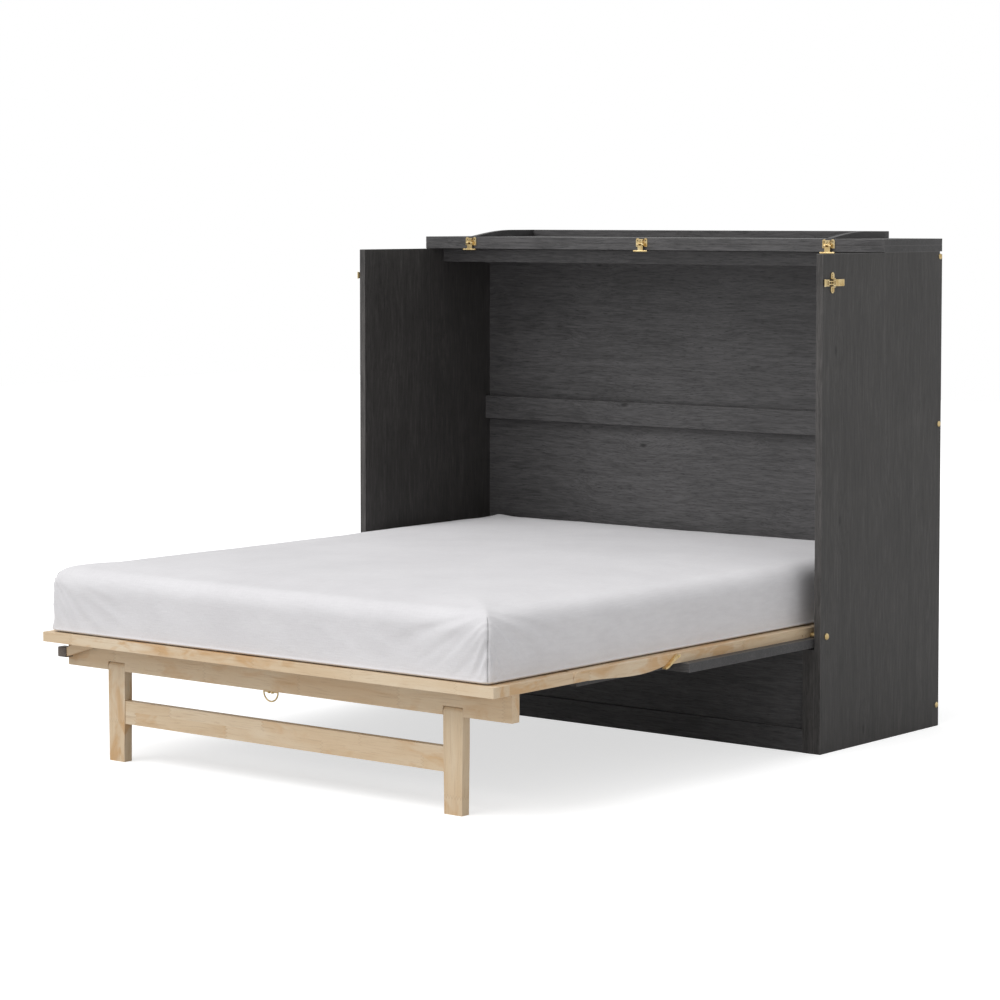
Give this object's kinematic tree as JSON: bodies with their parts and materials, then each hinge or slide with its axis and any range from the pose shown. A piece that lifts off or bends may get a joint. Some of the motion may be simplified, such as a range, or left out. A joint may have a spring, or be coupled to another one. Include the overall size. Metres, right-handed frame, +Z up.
{
  "type": "murphy wall bed",
  "caption": "Low cabinet bed: a mattress deck folds down in front on a folding leg frame; hinged top boards, draw latches, gallery rail, tri-fold mattress.",
  "frame": {"origin": "centre of the footprint, on the floor", "axes": "+X to the right seen from the foot of the bed, +Y from the foot towards the back of the cabinet, +Z up"},
  "size_m": [1.6594, 1.937, 1.396],
  "materials": {
    "dark_wood": "charcoal grey stain, satin",
    "dark_panel_wood": "charcoal grey stain, satin",
    "pale_wood": "clear satin lacquer",
    "slat_wood": "plain sanded",
    "brass": "polished",
    "mattress_cloth": "woven knit cover, matt"
  },
  "bodies": {
    "cabinet": {"side_panel_left": "dark_wood", "side_panel_right": "dark_wood", "back_panel": "dark_panel_wood", "mid_rail": "dark_wood", "top_cleat": "dark_wood", "lid_rail": "dark_wood", "base_top_rail": "dark_wood", "base_bottom_rail": "dark_wood", "base_stiles": "dark_wood", "base_panel": "dark_panel_wood", "head_rails": "pale_wood", "head_slats": "slat_wood", "head_cleats": "dark_wood", "side_bolts": "brass", "pivot_bolts": "brass", "side_latch_base_left": "brass", "side_latch_base_right": "brass", "mattress_head": "mattress_cloth", "lid_hinges": "brass"},
    "main_deck": {"main_rails": "pale_wood", "main_slats": "slat_wood", "panel_lower": "dark_wood", "panel_upper": "dark_wood", "s_brackets": "brass", "bow_strips": "pale_wood", "fold_leaves_main": "brass", "mattress_middle": "mattress_cloth"},
    "flap": {"flap_rails": "pale_wood", "flap_slats": "slat_wood", "end_rail": "pale_wood", "flap_board": "dark_wood", "grip_arm": "pale_wood", "grip_cap": "dark_wood", "leg_beam": "pale_wood", "fold_leaves_flap": "brass", "pull_staple": "brass", "leg_pins": "brass", "mattress_foot": "mattress_cloth"},
    "leg_frame": {"leg_left": "pale_wood", "leg_right": "pale_wood", "stretcher": "pale_wood"},
    "top_lid": {"lid_lower": "dark_wood", "lid_upper": "dark_wood", "gallery_back": "dark_wood", "gallery_side_left": "dark_wood", "gallery_side_right": "dark_wood", "top_latch_bases": "brass", "lid_leaves": "brass"},
    "ring": {"ring_pull": "brass"},
    "side_lever_left_body": {"side_lever_left": "brass"},
    "side_lever_right_body": {"side_lever_right": "brass"},
    "side_bail_left_body": {"side_bail_left": "brass"},
    "side_bail_right_body": {"side_bail_right": "brass"},
    "top_lever_left_body": {"top_lever_left": "brass"},
    "top_lever_mid_body": {"top_lever_mid": "brass"},
    "top_lever_right_body": {"top_lever_right": "brass"},
    "top_bail_left_body": {"top_bail_left": "brass"},
    "top_bail_mid_body": {"top_bail_mid": "brass"},
    "top_bail_right_body": {"top_bail_right": "brass"}
  },
  "joints": [
    {"name": "deck_fold", "type": "hinge", "parent": "cabinet", "child": "main_deck", "pos_m": [0, 0.3855, 0.316], "axis": [-1, 0, 0], "range_deg": [0, 90]},
    {"name": "flap_fold", "type": "hinge", "parent": "main_deck", "child": "flap", "pos_m": [0, -0.637, 0.3125], "axis": [-1, 0, 0], "range_deg": [0, 90]},
    {"name": "leg_fold", "type": "hinge", "parent": "flap", "child": "leg_frame", "pos_m": [0, -0.8725, 0.249], "axis": [1, 0, 0], "range_deg": [0, 90]},
    {"name": "lid_lift", "type": "hinge", "parent": "cabinet", "child": "top_lid", "pos_m": [0, 0.964, 1.34], "axis": [-1, 0, 0], "range_deg": [0, 80]},
    {"name": "ring_swing", "type": "hinge", "parent": "flap", "child": "ring", "pos_m": [-0.033, -0.8725, 0.237], "axis": [1, 0, 0], "range_deg": [-80, 80]},
    {"name": "side_lever_left_turn", "type": "hinge", "parent": "cabinet", "child": "side_lever_left_body", "pos_m": [-0.8265, 0.4025, 1.262], "axis": [0, 0, 1], "range_deg": [0, 100]},
    {"name": "side_bail_left_turn", "type": "hinge", "parent": "side_lever_left_body", "child": "side_bail_left_body", "pos_m": [-0.8265, 0.3993, 1.262], "axis": [0, 0, 1], "range_deg": [-100, 0]},
    {"name": "side_lever_right_turn", "type": "hinge", "parent": "cabinet", "child": "side_lever_right_body", "pos_m": [0.8265, 0.4025, 1.262], "axis": [0, 0, -1], "range_deg": [0, 100]},
    {"name": "side_bail_right_turn", "type": "hinge", "parent": "side_lever_right_body", "child": "side_bail_right_body", "pos_m": [0.8265, 0.3993, 1.262], "axis": [0, 0, -1], "range_deg": [-100, 0]},
    {"name": "top_lever_left_turn", "type": "hinge", "parent": "top_lid", "child": "top_lever_left_body", "pos_m": [-0.64, 0.655, 1.356], "axis": [-1, 0, 0], "range_deg": [0, 100]},
    {"name": "top_bail_left_turn", "type": "hinge", "parent": "top_lever_left_body", "child": "top_bail_left_body", "pos_m": [-0.64, 0.655, 1.3592], "axis": [-1, 0, 0], "range_deg": [-100, 0]},
    {"name": "top_lever_mid_turn", "type": "hinge", "parent": "top_lid", "child": "top_lever_mid_body", "pos_m": [0, 0.655, 1.356], "axis": [-1, 0, 0], "range_deg": [0, 100]},
    {"name": "top_bail_mid_turn", "type": "hinge", "parent": "top_lever_mid_body", "child": "top_bail_mid_body", "pos_m": [0, 0.655, 1.3592], "axis": [-1, 0, 0], "range_deg": [-100, 0]},
    {"name": "top_lever_right_turn", "type": "hinge", "parent": "top_lid", "child": "top_lever_right_body", "pos_m": [0.64, 0.655, 1.356], "axis": [-1, 0, 0], "range_deg": [0, 100]},
    {"name": "top_bail_right_turn", "type": "hinge", "parent": "top_lever_right_body", "child": "top_bail_right_body", "pos_m": [0.64, 0.655, 1.3592], "axis": [-1, 0, 0], "range_deg": [-100, 0]}
  ],
  "couplings": [
    {"joint": "side_bail_left_turn", "follows": "side_lever_left_turn", "ratio": -1},
    {"joint": "side_bail_right_turn", "follows": "side_lever_right_turn", "ratio": -1},
    {"joint": "top_bail_left_turn", "follows": "top_lever_left_turn", "ratio": -1},
    {"joint": "top_bail_mid_turn", "follows": "top_lever_mid_turn", "ratio": -1},
    {"joint": "top_bail_right_turn", "follows": "top_lever_right_turn", "ratio": -1}
  ]
}
